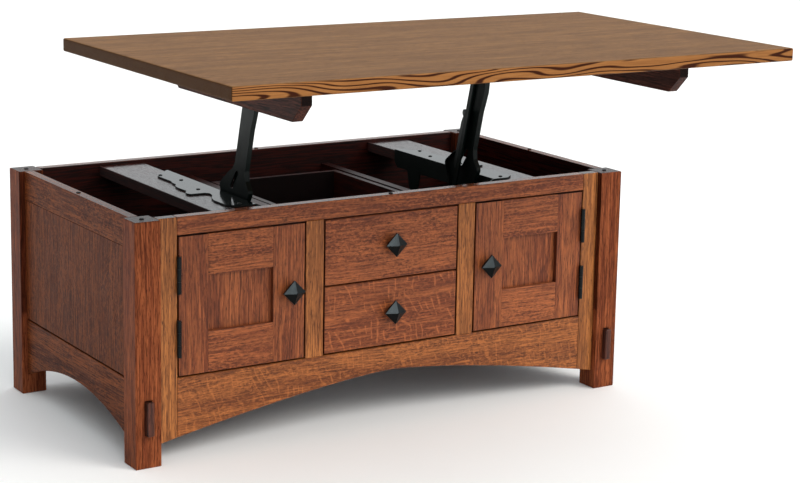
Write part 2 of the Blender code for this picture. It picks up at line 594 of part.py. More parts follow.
def build_top(top, oak, walnut, steel):
    box("table_top", (-TOP_W / 2, TOP_Y - TOP_D / 2, TOP_Z), (TOP_W / 2, TOP_Y + TOP_D / 2, TOP_Z + TOP_T),
        top, oak, 0.003, 2)
    front = TOP_Y - TOP_D / 2
    high, low = TOP_Z - FIT, TOP_Z - CLEAT_H
    cut = CLEAT_CHAMFER
    outline = [(front + CLEAT_FRONT, high), (front + CLEAT_FRONT, low + cut),
               (front + CLEAT_FRONT + cut, low), (front + CLEAT_BACK - cut, low),
               (front + CLEAT_BACK, low + cut), (front + CLEAT_BACK, high)]
    for side, sign in SIDES:
        left, right = mirrored(CLEAT_X, CLEAT_X + CLEAT_T, sign)
        prism(f"top_cleat_{side}", outline, "x", left, right, top, walnut, 0.001)
        build_top_bracket(side, sign, top, steel)


# ---- assembly --------------------------------------------------------------------------------

def clear_scene():
    for item in list(bpy.data.objects):
        bpy.data.objects.remove(item, do_unlink=True)


def main():
    clear_scene()
    oak = make_material("oak", (0.30, 0.115, 0.045), 0.42)
    red_oak = make_material("red_oak", (0.26, 0.085, 0.035), 0.42)
    end_oak = make_material("end_oak", (0.16, 0.065, 0.035), 0.45)
    top_oak = make_material("top_oak", (0.36, 0.16, 0.06), 0.30)
    inner_oak = make_material("inner_oak", (0.08, 0.02, 0.012), 0.5)
    walnut = make_material("walnut", (0.045, 0.02, 0.015), 0.4)
    bronze = make_material("bronze", (0.03, 0.022, 0.018), 0.4, 0.8)
    steel = make_material("black_steel", (0.012, 0.018, 0.016), 0.4, 0.5)
    bright = make_material("spring_steel", (0.35, 0.35, 0.34), 0.3, 1.0)

    cabinet = add_empty("cabinet", None, (0, CABINET_Y, 0))
    build_legs(cabinet, oak, walnut)
    build_front_frame(cabinet, oak)
    build_ends_and_back(cabinet, end_oak)
    build_inside(cabinet, inner_oak)

    for side, sign in SIDES:
        door = add_empty(f"{side}_door", cabinet, (sign * HINGE_X, HINGE_Y, STORAGE_Z))
        build_door(side, sign, door, cabinet, red_oak, red_oak, bronze)
    levels = (("lower", STORAGE_Z + REVEAL, DRAWER_SPLIT_Z - REVEAL / 2, KNOB_DRAWER_Z[0]),
              ("upper", DRAWER_SPLIT_Z + REVEAL / 2, TOP_RAIL_Z - REVEAL, KNOB_DRAWER_Z[1]))
    for name, low_z, high_z, knob_z in levels:
        drawer = add_empty(f"{name}_drawer", cabinet, (0, FRAME_FRONT, low_z))
        build_drawer(name, low_z, high_z, knob_z, drawer, red_oak, inner_oak, bronze)

    arms = add_empty("lift_arms", cabinet, (0, *BASE_PIVOT))
    links = add_empty("level_links", cabinet, (0, *LINK_BASE))
    top = add_empty("top", arms, (0, *TOP_PIVOT))
    for side, sign in SIDES:
        build_base_bracket(side, sign, cabinet, steel)
        build_pivot_bolt(side, sign, cabinet, steel)
        build_spring(side, sign, cabinet, bright)
        build_arm(side, sign, arms, steel)
        build_link(side, sign, links, steel)
    build_top(top, top_oak, walnut, steel)


main()
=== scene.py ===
"""Looks for the lift-top coffee table: stained oak, black steel, small fittings, light and camera."""

import json
import random
from math import cos, pi, radians, sin

import bmesh
import bpy
from mathutils import Matrix, Vector


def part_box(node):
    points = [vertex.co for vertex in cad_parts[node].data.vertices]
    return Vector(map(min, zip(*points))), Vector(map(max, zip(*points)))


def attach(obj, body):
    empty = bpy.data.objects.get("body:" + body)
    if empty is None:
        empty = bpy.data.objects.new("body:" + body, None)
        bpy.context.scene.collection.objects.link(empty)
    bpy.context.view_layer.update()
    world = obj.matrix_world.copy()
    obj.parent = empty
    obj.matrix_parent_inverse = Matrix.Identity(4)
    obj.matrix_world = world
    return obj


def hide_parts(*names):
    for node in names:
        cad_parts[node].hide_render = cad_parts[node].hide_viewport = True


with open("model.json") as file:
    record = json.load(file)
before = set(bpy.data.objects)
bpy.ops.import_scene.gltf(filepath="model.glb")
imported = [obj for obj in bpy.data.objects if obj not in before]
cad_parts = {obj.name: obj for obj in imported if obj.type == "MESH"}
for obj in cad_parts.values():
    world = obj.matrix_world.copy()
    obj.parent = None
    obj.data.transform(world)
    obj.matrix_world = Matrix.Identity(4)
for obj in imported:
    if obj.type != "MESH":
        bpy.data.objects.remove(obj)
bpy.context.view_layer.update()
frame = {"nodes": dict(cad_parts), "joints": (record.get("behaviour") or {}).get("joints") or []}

SIDES = (("left", -1), ("right", 1))
X, Y, Z = 0, 1, 2

# Driving sizes, in metres
BUMPER_R, BUMPER_H = 0.0045, 0.0019
END_RAIL = 0.060
RAIL_SEAM = 0.0004
DOOR_TONGUE = 0.006
GRIT = 0.00005          # depth of the fine texture on paint and rubber
PORE_DEPTH = 0.00022

# Screws: the head, its cross recess in shares of the head, and the places of those in each bracket
SCREW_R, SCREW_H, SCREW_STEPS = 0.0042, 0.0018, 24
SCREW_PROFILE = ((1.0, 0.0), (1.0, 0.35), (0.9, 0.68), (0.66, 0.9), (0.3, 1.0))
RECESS_LONG, RECESS_WIDE, RECESS_DEEP = 1.1, 0.16, 0.5
BASE_SCREWS = ((0.319, 0.045), (0.304, 0.111), (0.316, 0.212), (0.309, 0.374))
TOP_SCREWS = ((0.010, 0.25), (0.010, 0.75), (0.024, 0.5))
TOP_FLANGE_T = 0.0033

# Arm strap: its outline along the arm and towards the front, and the boss near its upper end
STRAP_OUTLINE = ((0.055, -0.0280), (0.062, -0.0330), (0.158, -0.0325), (0.170, -0.0300), (0.180, -0.0270),
                 (0.190, -0.0220), (0.190, -0.0160), (0.062, -0.0160), (0.055, -0.0200))
STRAP_NEAR, STRAP_FAR = 0.0002, 0.0030
BOSS_PROFILE = ((0, 0), (0.0085, 0), (0.0085, 0.0022), (0.0062, 0.0032), (0, 0.0032))
BOSS_ALONG, BOSS_BEHIND = 0.1815, 0.0265

# Counter spring: the wire, the coil, and the straight lengths before and after the coil
WIRE_R, COIL_R, COIL_TURNS, COIL_STEPS = 0.0009, 0.0041, 26, 14
TAIL_LENGTHS, HOOK_LENGTH = (0.006, 0.013, 0.021), 0.010

# Light: the strengths of the room's parts, the share left over on the left, and the key lamp
SIDE_GLOW, TOP_GLOW, BAND_GLOW, PANEL_GLOW = 0.45, 1.2, 0.45, 2.4
BAND_AT, PANEL_AT, SHADE_AT = (0.55, 0.83, 0.0), (-0.13, -0.86, 0.49), (-0.95, 0.30, 0.0)
LEFT_SHARE = 0.5
KEY_POWER, KEY_SPREAD, KEY_RAY = 1.6, 30, (-0.55, 0.80, -0.75)

# Camera: its place from the middle of the cabinet's depth, its angles in degrees and its lens in mm
CAMERA_X, CAMERA_Y, CAMERA_Z = -2.101, -3.622, 1.272
YAW, PITCH, ROLL = 33.6, 11.0, 1.32
SENSOR, LENS, SHIFT_X, SHIFT_Y = 36, 90.7, -0.05, -0.077
FLOOR_REACH = 60


# ---- node graphs -----------------------------------------------------------------------------

def srgb(red, green, blue):
    """A colour given as 0-255 display values, as linear light."""
    return tuple(pow(c / 255, 2.2) for c in (red, green, blue)) + (1.0,)


def brighter(colour, gain):
    """The colour with its light scaled, and kept within range."""
    return tuple(min(1.0, gain * c) for c in colour[:3]) + (1.0,)


class Graph:
    """A material and a short way to add its nodes: a value is a number or another node's socket."""

    def __init__(self, name):
        self.material = bpy.data.materials.new(name)
        self.material.use_nodes = True
        self.nodes = self.material.node_tree.nodes
        self.links = self.material.node_tree.links
        self.shader = self.nodes["Principled BSDF"]

    def put(self, socket, value):
        if isinstance(value, bpy.types.NodeSocket):
            self.links.new(value, socket)
        else:
            socket.default_value = value

    def add(self, kind, inputs, output=0, **settings):
        node = self.nodes.new(kind)
        for key, value in settings.items():
            setattr(node, key, value)
        for key, value in inputs.items():
            self.put(node.inputs[key], value)
        return node.outputs[output]

    def math(self, operation, first, second=0.0, third=0.0):
        return self.add("ShaderNodeMath", {0: first, 1: second, 2: third}, operation=operation)

    def mix(self, amount, first, second):
        return self.add("ShaderNodeMix", {0: amount, 6: first, 7: second}, 2, data_type="RGBA")

    def blend(self, amount, first, second):
        return self.add("ShaderNodeMix", {0: amount, 2: first, 3: second}, 0, data_type="FLOAT")

    def ramp(self, value, low, high, to_low=0.0, to_high=1.0):
        """A smooth step of value from low to high."""
        return self.add("ShaderNodeMapRange", {0: value, 1: low, 2: high, 3: to_low, 4: to_high},
                        interpolation_type="SMOOTHSTEP")

    def scaled(self, vector, scale):
        return self.add("ShaderNodeVectorMath", {0: vector, 1: scale}, operation="MULTIPLY")

    def noise(self, vector, scale, detail=2.0, rough=0.5, warp=0.0):
        place = self.scaled(vector, scale)
        return self.add("ShaderNodeTexNoise", {"Vector": place, "Scale": 1.0, "Detail": detail,
                                               "Roughness": rough, "Distortion": warp})

    def join(self, x, y, z):
        return self.add("ShaderNodeCombineXYZ", {0: x, 1: y, 2: z})

    def bump(self, height, distance):
        normal = self.add("ShaderNodeBump", {"Height": height, "Distance": distance, "Strength": 0.6})
        self.put(self.shader.inputs["Normal"], normal)

    def finish(self, **sockets):
        for key, value in sockets.items():
            self.put(self.shader.inputs[key.replace("_", " ")], value)
        return self.material


# Palettes: (light wood, dark wood, pore), display values; the stains, and darker copies that stand for
# painted shade
GOLDEN = ((168, 104, 56), (130, 77, 40), (56, 25, 13))
RUSSET = ((146, 82, 47), (108, 55, 32), (42, 18, 11))
AMBER = ((152, 90, 48), (112, 62, 34), (44, 20, 11))
REDDISH = ((136, 75, 46), (101, 51, 33), (41, 18, 11))
# a darker copy of the stain for the end and back boards and rails: painted shade, as on faces turned away
# from the key light
SHADED = ((122, 67, 37), (86, 44, 26), (31, 13, 8))
TABLE = ((134, 96, 59), (114, 80, 49), (76, 49, 30))
# a near-black copy of the stain: painted shade for the inside of the cabinet, on its floor, partitions,
# drawer boxes and support boards
INSIDE_SHADE = ((62, 24, 16), (40, 14, 9), (16, 5, 4))
DARK = ((80, 46, 36), (54, 31, 25), (22, 11, 9))
FLAME = ((162, 110, 64), (94, 56, 33), (46, 19, 13))
# the colour of painted shade, in gaps and inside the cabinet
UNLIT = (56, 18, 11)


def ray_fleck(graph, colour, bent, light, pore, amount):
    """The colour with the mottled fleck of quarter-sawn oak: bright spots among dark hollows."""
    mottle = graph.noise(bent, (130, 250, 250), 3, 0.6, 0.6)
    patch = graph.ramp(graph.noise(bent, (9, 16, 16), 2), 0.32, 0.68, 0.4, 1.0)
    spot = graph.math("MULTIPLY", graph.ramp(mottle, 0.5, 0.64), patch)
    colour = graph.mix(graph.math("MULTIPLY", spot, 0.7 * amount), colour, brighter(light, 1.3))
    hollow = graph.math("MULTIPLY", graph.ramp(mottle, 0.5, 0.36), patch)
    return graph.mix(graph.math("MULTIPLY", hollow, 0.5 * amount), colour, pore)


def ribbons(graph, colour, bent, along, wide, light, amount):
    """The colour with bright curved ribbons, which cross the grain in patches."""
    slant = graph.math("MULTIPLY_ADD", along, 62.0, graph.math("MULTIPLY", wide, 20.0))
    slant = graph.math("MULTIPLY_ADD", graph.noise(bent, (15, 10, 10), 2), 4.5, slant)
    ribbon = graph.math("ABSOLUTE", graph.math("SUBTRACT", graph.math("FRACT", slant), 0.5))
    patch = graph.ramp(graph.noise(bent, (34, 48, 48), 1), 0.44, 0.58)
    ribbon = graph.math("MULTIPLY", graph.ramp(ribbon, 0.17, 0.04), patch)
    return graph.mix(graph.math("MULTIPLY", ribbon, 0.6 * amount), colour, brighter(light, 1.45))


def pore_lines(graph, bent, streaks):
    """Where the open pores are, from 0 to 1: long streaks and short dashes along the grain."""
    streak = graph.ramp(graph.noise(bent, (26, 360, 360), 2, 0.5), 0.53, 0.66)
    streak = graph.math("MULTIPLY", streak, 0.7 * streaks)
    dash = graph.ramp(graph.noise(bent, (70, 900, 900), 1, 0.4), 0.58, 0.70)
    dash = graph.math("MULTIPLY", dash, 0.75)
    return graph.math("MAXIMUM", streak, dash)


def flame_grain(graph, shift, wide, deep, fine):
    """The colour of plain-sawn contours, as a long edge shows them."""
    light, dark, line = (srgb(*colour) for colour in FLAME)
    rings = graph.noise(graph.join(shift, wide, deep), (2.1, 14, 17), 2, 0.45, 0.1)
    rings = graph.math("MULTIPLY_ADD", rings, 105.0, graph.math("MULTIPLY", deep, 640.0))
    rings = graph.ramp(graph.math("SINE", rings), 0.0, 0.85)
    wood = graph.mix(graph.math("MULTIPLY", fine, 0.85), light, dark)
    return graph.mix(graph.math("MULTIPLY", rings, 0.95), wood, line)


def turned_inward(graph, parts, facing, face, inside, corner):
    """How far a face is turned into the cabinet, from 0 to 1, as the mask of painted shade: a panel's by
    the sign of its broad face, or else a leg's, above the height of corner, by whether it looks towards
    the middle of the table."""
    if inside:
        return graph.ramp(graph.math("MULTIPLY", facing[face], float(inside)), 0.5, 0.8)
    inward = [graph.math("MULTIPLY", facing[axis], parts[axis]) for axis in (X, Y)]
    hidden = graph.ramp(graph.math("MINIMUM", *inward), -0.05, -0.2)
    return graph.math("MULTIPLY", hidden, graph.ramp(parts[Z], corner, corner + 0.01, 0.0, 0.7))


def oak(name, grain, face, palette, seed, figure=0.0, arcs=0.0, streaks=1.0, rough=0.46,
        level=0.25, planks=0.0, edges=0.0, inside=0, sheen=0.35, flame=False, corner=0.0):
    """Stained oak. grain and face are the axes along the grain and out of the broad face. figure is
    how strong the ray fleck is, arcs its ribbons, streaks its pores. rough and level are the finish's
    roughness and reflection, and sheen is the roughness of faces that look up. planks is the width of
    glued-up boards, or 0 for one board. edges paints shade on the narrow sides that face a gap, in the
    unlit colour. inside is the sign of the broad face that is turned into the cabinet, which is painted
    nearly black as shade. flame draws plain-sawn contours on the long edge. corner is the height above
    which a leg's faces towards the middle of the table get the same painted shade."""
    graph = Graph(name)
    light, dark, pore = (srgb(*colour) for colour in palette)
    across = ({X, Y, Z} - {grain, face}).pop()
    place = graph.add("ShaderNodeTexCoord", {}, "Object")
    normal = graph.add("ShaderNodeTexCoord", {}, "Normal")
    parts = [graph.add("ShaderNodeSeparateXYZ", {0: place}, axis) for axis in (X, Y, Z)]
    facing = [graph.add("ShaderNodeSeparateXYZ", {0: normal}, axis) for axis in (X, Y, Z)]
    along, wide, deep = parts[grain], parts[across], parts[face]
    shift = graph.math("ADD", along, seed * 1.37)
    if planks:
        board = graph.math("FLOOR", graph.math("DIVIDE", wide, planks))
        shift = graph.math("MULTIPLY_ADD", board, 3.71, shift)
    wide_at = graph.math("ADD", wide, seed * 0.61)
    wander = graph.noise(graph.join(shift, wide_at, deep), (1.7, 6, 6), 1)
    wander = graph.math("MULTIPLY", graph.math("SUBTRACT", wander, 0.5), 0.03)
    bent = graph.join(shift, graph.math("ADD", wide_at, wander), graph.math("ADD", deep, wander))

    tone = graph.noise(bent, (1.6, 30, 30), 3)
    fine = graph.noise(bent, (11, 300, 300), 3, 0.6)
    colour = graph.mix(graph.ramp(tone, 0.34, 0.66), light, dark)
    colour = graph.mix(graph.math("MULTIPLY", graph.ramp(fine, 0.47, 0.62), 0.85), colour,
                       brighter(dark, 0.8))
    colour = graph.mix(graph.math("MULTIPLY", graph.ramp(fine, 0.47, 0.32), 0.75), colour,
                       brighter(light, 1.35))
    height = graph.math("MULTIPLY", fine, 0.4)
    if planks:
        board_tone = graph.add("ShaderNodeTexWhiteNoise", {"W": board}, 0, noise_dimensions="1D")
        colour = graph.mix(graph.math("MULTIPLY", board_tone, 0.3), colour, dark)
    if figure:
        colour = ray_fleck(graph, colour, bent, light, pore, figure)
    if arcs:
        colour = ribbons(graph, colour, bent, along, wide, light, arcs)
    lines = pore_lines(graph, bent, streaks)
    colour = graph.mix(lines, colour, pore)
    height = graph.math("SUBTRACT", height, lines)

    if flame:
        at_edge = graph.ramp(graph.math("ABSOLUTE", facing[across]), 0.5, 0.8)
        colour = graph.mix(at_edge, colour, flame_grain(graph, shift, wide, deep, fine))
    end = graph.ramp(graph.math("ABSOLUTE", facing[grain]), 0.75, 0.95)
    rays = graph.noise(graph.join(along, wide, deep), (60, 900, 260), 2)
    end_colour = graph.mix(graph.ramp(rays, 0.3, 0.65), brighter(dark, 0.36), brighter(pore, 0.7))
    colour = graph.mix(graph.math("MULTIPLY", end, 0.95), colour, end_colour)
    if planks:
        seam = graph.math("PINGPONG", graph.math("ADD", wide, planks * 64), planks / 2)
        seam = graph.math("MULTIPLY", graph.ramp(seam, 0.0012, 0.0003), graph.blend(end, 0.25, 0.8))
        colour = graph.mix(seam, colour, pore)
    # painted shade: the narrow sides that face a gap, but not those that look up, take the unlit colour
    if edges:
        narrow = graph.ramp(graph.math("ABSOLUTE", facing[face]), 0.75, 0.35)
        narrow = graph.math("MULTIPLY", narrow, graph.ramp(facing[Z], 0.9, 0.5))
        colour = graph.mix(graph.math("MULTIPLY", narrow, edges), colour, srgb(*UNLIT))
    # painted shade: faces turned into the cabinet, and legs' inner faces above corner, take a near-black
    # unlit colour
    if inside or corner:
        deepest = srgb(*(0.45 * c for c in UNLIT))
        unlit = graph.mix(graph.ramp(fine, 0.4, 0.6), srgb(*UNLIT), deepest)
        colour = graph.mix(turned_inward(graph, parts, facing, face, inside, corner), colour, unlit)

    gloss = graph.blend(graph.noise(bent, (30, 60, 60), 2), rough - 0.06, rough + 0.08)
    gloss = graph.blend(graph.ramp(facing[Z], 0.5, 0.9), gloss, sheen)
    graph.bump(height, PORE_DEPTH)
    graph.shader.inputs["Specular IOR Level"].default_value = level
    return graph.finish(Base_Color=colour, Roughness=gloss)


def steel(name, colour, wear, rough, metallic, sheen=0.0, under=1.0, level=0.5):
    """Painted or blackened steel: an orange-peel skin, faint scuffs and uneven gloss. sheen is how much
    smoother the paint has settled on faces that look up. under scales the colour of those that look
    down, as painted shade."""
    graph = Graph(name)
    place = graph.add("ShaderNodeTexCoord", {}, "Object")
    normal = graph.add("ShaderNodeTexCoord", {}, "Normal")
    rise = graph.add("ShaderNodeSeparateXYZ", {0: normal}, Z)
    upward = graph.ramp(rise, 0.6, 0.9)
    peel = graph.noise(place, (900, 900, 900), 2)
    cloud = graph.noise(place, (26, 26, 26), 3, 0.6)
    scuff = graph.noise(place, (420, 60, 130), 3, 0.7)
    scuff = graph.math("MULTIPLY", graph.ramp(scuff, 0.6, 0.74), graph.ramp(cloud, 0.45, 0.65))
    deeper = srgb(*(0.6 * c for c in colour))
    tint = graph.mix(graph.ramp(cloud, 0.3, 0.7, 0.0, 0.6), srgb(*colour), deeper)
    tint = graph.mix(graph.math("MULTIPLY", scuff, 0.5), tint, srgb(*wear))
    # painted shade: faces that look down take the colour scaled by under
    tint = graph.mix(graph.ramp(rise, 0.25, -0.1), tint, srgb(*(under * c for c in colour)))
    graph.bump(peel, GRIT)
    gloss = graph.blend(cloud, rough - 0.08, rough + 0.12)
    gloss = graph.math("MULTIPLY", gloss, graph.blend(upward, 1.0, 1.0 - sheen))
    graph.shader.inputs["Specular IOR Level"].default_value = level
    return graph.finish(Base_Color=tint, Metallic=metallic, Roughness=gloss)


def rubber(name):
    graph = Graph(name)
    place = graph.add("ShaderNodeTexCoord", {}, "Object")
    grain = graph.noise(place, (1500, 1500, 1500), 2)
    graph.bump(grain, GRIT)
    return graph.finish(Base_Color=graph.mix(grain, srgb(22, 24, 26), srgb(44, 46, 48)),
                        Roughness=graph.blend(grain, 0.6, 0.8))


# ---- materials on the CAD nodes --------------------------------------------------------------


def paint(node, material):
    data = frame["nodes"][node].data
    data.materials.clear()
    data.materials.append(material)


def paint_wood():
    """Each board has its own material, so that no two show the same figure."""
    # edges, inside and corner paint shade into the gaps, into the cabinet and on the legs' inner faces
    boards = {
        "front_top_rail": dict(grain=X, face=Y, palette=RUSSET, figure=0.9, streaks=0.5, inside=1,
                               sheen=0.15, edges=0.95),
        "front_arch_rail": dict(grain=X, face=Y, palette=AMBER, figure=0.9, arcs=0.75, streaks=0.6),
        "back_panel": dict(grain=X, face=Y, palette=SHADED, figure=0.7, planks=0.104, inside=-1,
                           sheen=0.1),
        "back_arch_rail": dict(grain=X, face=Y, palette=SHADED, figure=0.8, streaks=0.5),
        "cabinet_floor": dict(grain=X, face=Z, palette=INSIDE_SHADE, planks=0.11),
        "upper_drawer_front": dict(grain=X, face=Y, palette=RUSSET, figure=1.0, arcs=0.25, streaks=0.4,
                                   edges=0.95, sheen=0.9),
        "lower_drawer_front": dict(grain=X, face=Y, palette=RUSSET, figure=0.6, arcs=1.1, streaks=0.45,
                                   edges=0.95, sheen=0.9),
        "upper_drawer_box": dict(grain=Y, face=Z, palette=INSIDE_SHADE),
        "lower_drawer_box": dict(grain=Y, face=Z, palette=INSIDE_SHADE),
        "table_top": dict(grain=X, face=Z, palette=TABLE, planks=0.098, streaks=0.35, level=0.04,
                          sheen=0.5, flame=True),
    }
    for side, _ in SIDES:
        for depth in ("front", "back"):
            boards[f"leg_{depth}_{side}"] = dict(grain=Z, face=Y, palette=REDDISH, streaks=0.75,
                                                 sheen=0.15, level=0.06, corner=0.17)
            boards[f"tenon_{depth}_{side}"] = dict(grain=Z, face=Y, palette=DARK)
        for stile in ("outer", "inner"):
            boards[f"front_{stile}_stile_{side}"] = dict(grain=Z, face=Y, palette=GOLDEN, inside=1,
                                                         streaks=0.95, sheen=0.15, edges=0.9)
        boards[f"end_arch_rail_{side}"] = dict(grain=Y, face=X, palette=SHADED, figure=0.7,
                                               level=0.06)
        boards[f"partition_{side}"] = dict(grain=Y, face=X, palette=INSIDE_SHADE)
        boards[f"support_board_{side}"] = dict(grain=Y, face=Z, palette=INSIDE_SHADE, rough=0.8,
                                               level=0.45, sheen=0.12)
        boards[f"door_panel_{side}"] = dict(grain=Z, face=Y, palette=RUSSET, streaks=0.85)
        boards[f"top_cleat_{side}"] = dict(grain=Y, face=X, palette=DARK, streaks=1.2, level=0.08)
    for seed, (node, look) in enumerate(sorted(boards.items())):
        paint(node, oak(f"oak_{node}", seed=seed + 1, **look))


def paint_metal():
    black = steel("black_steel", (20, 30, 28), (74, 82, 80), 0.38, 0.1, sheen=0.7)
    dull = steel("arm_steel", (16, 25, 23), (50, 58, 56), 0.42, 0.0, level=0.2)
    # the knobs' faces that look down carry painted shade
    bronze = steel("oiled_bronze", (58, 62, 63), (84, 84, 80), 0.27, 0.9, under=0.4)
    for node in frame["nodes"]:
        if node.startswith(("lift_arm", "level_link")):
            paint(node, dull)
        elif node.startswith(("base_bracket", "top_bracket", "pivot_bolt")):
            paint(node, black)
        elif "knob" in node or node.startswith("hinge"):
            paint(node, bronze)
    return black


# ---- pieces ----------------------------------------------------------------------------------

def mesh_of(work, name, crease=0):
    """The mesh of a finished bmesh, smooth up to the crease angle in degrees, or flat without one."""
    mesh = bpy.data.meshes.new(name)
    work.to_mesh(mesh)
    work.free()
    if crease:
        mesh.shade_smooth()
        mesh.set_sharp_from_angle(angle=radians(crease))
    return mesh


def ring(work, radius, height, steps):
    """A ring of points about Z, or the same point repeated where the radius is 0."""
    if radius == 0:
        return [work.verts.new((0, 0, height))] * steps
    angles = [2 * pi * k / steps for k in range(steps)]
    return [work.verts.new((radius * cos(angle), radius * sin(angle), height)) for angle in angles]


def stitch(work, rows):
    """Faces between each ring of points and the next."""
    steps = len(rows[0])
    for first, second in zip(rows, rows[1:]):
        for k in range(steps):
            corners = (first[k], first[(k + 1) % steps], second[(k + 1) % steps], second[k])
            unique = list(dict.fromkeys(corners))
            if len(unique) > 2:
                work.faces.new(unique)


def upright_to(axis):
    """The turn that takes Z onto the axis."""
    return Vector((0, 0, 1)).rotation_difference(Vector(axis)).to_matrix().to_4x4()


def link_mesh(mesh):
    """A new object in the scene, with the mesh's name."""
    item = bpy.data.objects.new(mesh.name, mesh)
    bpy.context.scene.collection.objects.link(item)
    return item


def new_piece(name, mesh, material, body, finish, *replaced):
    piece = bpy.data.objects.new(name, mesh)
    bpy.context.scene.collection.objects.link(piece)
    mesh.materials.clear()
    mesh.materials.append(material)
    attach(piece, body)
    if replaced:
        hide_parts(*replaced)
    return piece


def board_mesh(name, low, high, ease=0.0006):
    """A board with softly rounded arrises, in place."""
    work = bmesh.new()
    bmesh.ops.create_cube(work, size=1)
    size, middle = high - low, (high + low) / 2
    bmesh.ops.scale(work, vec=size, verts=work.verts)
    bmesh.ops.translate(work, vec=middle, verts=work.verts)
    bmesh.ops.bevel(work, geom=work.edges[:], offset=ease, segments=2, profile=0.5, affect="EDGES")
    return mesh_of(work, name)


def turned_mesh(name, profile, start, axis, steps=20):
    """A closed turned solid: profile is (radius, height) pairs, from start along the axis."""
    work = bmesh.new()
    stitch(work, [ring(work, radius, height, steps) for radius, height in profile])
    bmesh.ops.recalc_face_normals(work, faces=work.faces)
    bmesh.ops.transform(work, matrix=Matrix.Translation(start) @ upright_to(axis), verts=work.verts)
    return mesh_of(work, name, 38)


def join_meshes(name, meshes):
    work = bmesh.new()
    for mesh in meshes:
        work.from_mesh(mesh)
        bpy.data.meshes.remove(mesh)
    return mesh_of(work, name, 38)


def build_door_frames():
    """Mortised stiles and rails in place of each one-piece door frame."""
    for side, sign in SIDES:
        low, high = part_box(f"door_frame_{side}")
        panel_low, panel_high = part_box(f"door_panel_{side}")
        window_low, window_high = panel_low.copy(), panel_high.copy()
        for corner, step in ((window_low, DOOR_TONGUE), (window_high, -DOOR_TONGUE)):
            corner.x += step
            corner.z += step
        spans = {
            "stile_left": ((low.x, low.z), (window_low.x, high.z)),
            "stile_right": ((window_high.x, low.z), (high.x, high.z)),
            "top_rail": ((window_low.x, window_high.z), (window_high.x, high.z)),
            "bottom_rail": ((window_low.x, low.z), (window_high.x, window_low.z)),
        }
        for k, (part, ((x0, z0), (x1, z1))) in enumerate(spans.items()):
            name = f"door_{side}_{part}"
            upright = part.startswith("stile")
            look = dict(figure=0.2, streaks=0.8) if upright else dict(figure=0.9, streaks=0.4)
            wood = oak(f"oak_{name}", grain=Z if upright else X, face=Y, palette=RUSSET,
                       seed=40 + 4 * sign + k, edges=0.6, sheen=0.9, **look)
            mesh = board_mesh(name, Vector((x0, low.y, z0)), Vector((x1, high.y, z1)))
            new_piece(name, mesh, wood, f"{side}_door", "red_oak", f"door_frame_{side}")


def build_end_boards():
    """A rail along the rim over an upright-grained panel, in place of each plain end panel."""
    for side, sign in SIDES:
        low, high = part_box(f"end_panel_{side}")
        split = high.z - END_RAIL
        spans = {"rail": (split + RAIL_SEAM, high.z, Y, dict(figure=0.9, streaks=0.5)),
                 "board": (low.z, split, Z, dict(figure=0.8, streaks=0.8, planks=0.127))}
        for k, (part, (bottom, top, grain, look)) in enumerate(spans.items()):
            name = f"end_{part}_{side}"
            wood = oak(f"oak_{name}", grain=grain, face=X, palette=SHADED, seed=60 + 2 * sign + k,
                       inside=-sign, sheen=0.1, level=0.06, **look)
            mesh = board_mesh(name, Vector((low.x, low.y, bottom)), Vector((high.x, high.y, top)))
            new_piece(name, mesh, wood, "cabinet", "end_oak", f"end_panel_{side}")


def build_bumpers(material):
    """Rubber discs that the closed top rests on: one on each leg, one midway along each rim."""
    front_low, front_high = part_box("front_top_rail")
    back_low, back_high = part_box("back_panel")
    spots = [(0, (front_low.y + front_high.y) / 2), (0, (back_low.y + back_high.y) / 2)]
    for side, _ in SIDES:
        end_low, end_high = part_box(f"end_panel_{side}")
        spots.append(((end_low.x + end_high.x) / 2, (end_low.y + end_high.y) / 2))
        for depth in ("front", "back"):
            leg_low, leg_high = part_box(f"leg_{depth}_{side}")
            spots.append(((leg_low.x + leg_high.x) / 2, (leg_low.y + leg_high.y) / 2))
    rim = front_high.z
    profile = ((0, 0), (BUMPER_R, 0), (BUMPER_R, 0.5 * BUMPER_H), (0.75 * BUMPER_R, 0.93 * BUMPER_H),
               (0.4 * BUMPER_R, BUMPER_H), (0, BUMPER_H))
    discs = [turned_mesh(f"disc_{k}", profile, (x, y, rim), (0, 0, 1))
             for k, (x, y) in enumerate(spots)]
    new_piece("rim_bumpers", join_meshes("rim_bumpers", discs), material, "cabinet", "dark_wood")


def screw_mesh(name, point, axis, turn):
    """A pan head with a cross recess, turned about its own axis by an angle."""
    work = bmesh.new()
    rows = [ring(work, SCREW_R * radius, SCREW_H * height, SCREW_STEPS) for radius, height in SCREW_PROFILE]
    stitch(work, rows)
    work.faces.new(rows[-1])
    work.faces.new(rows[0][::-1])
    bmesh.ops.recalc_face_normals(work, faces=work.faces)
    head = link_mesh(mesh_of(work, name))
    wide, long = RECESS_WIDE * SCREW_R, RECESS_LONG * SCREW_R
    cutters = []
    for size_x, size_y in ((wide, long), (long, wide)):
        blade = bmesh.new()
        bmesh.ops.create_cube(blade, size=1)
        bmesh.ops.scale(blade, vec=(size_x, size_y, SCREW_H), verts=blade.verts)
        bmesh.ops.translate(blade, vec=(0, 0, SCREW_H * (1.5 - RECESS_DEEP)), verts=blade.verts)
        cutters.append(link_mesh(mesh_of(blade, "blade")))
        cut = head.modifiers.new("recess", "BOOLEAN")
        cut.object = cutters[-1]
        cut.solver = "EXACT"
    bpy.context.view_layer.update()
    mesh = bpy.data.meshes.new_from_object(head.evaluated_get(bpy.context.evaluated_depsgraph_get()))
    for item in cutters + [head]:
        bpy.data.objects.remove(item, do_unlink=True)
    mesh.transform(Matrix.Translation(point) @ upright_to(axis) @ Matrix.Rotation(turn, 4, "Z"))
    return mesh


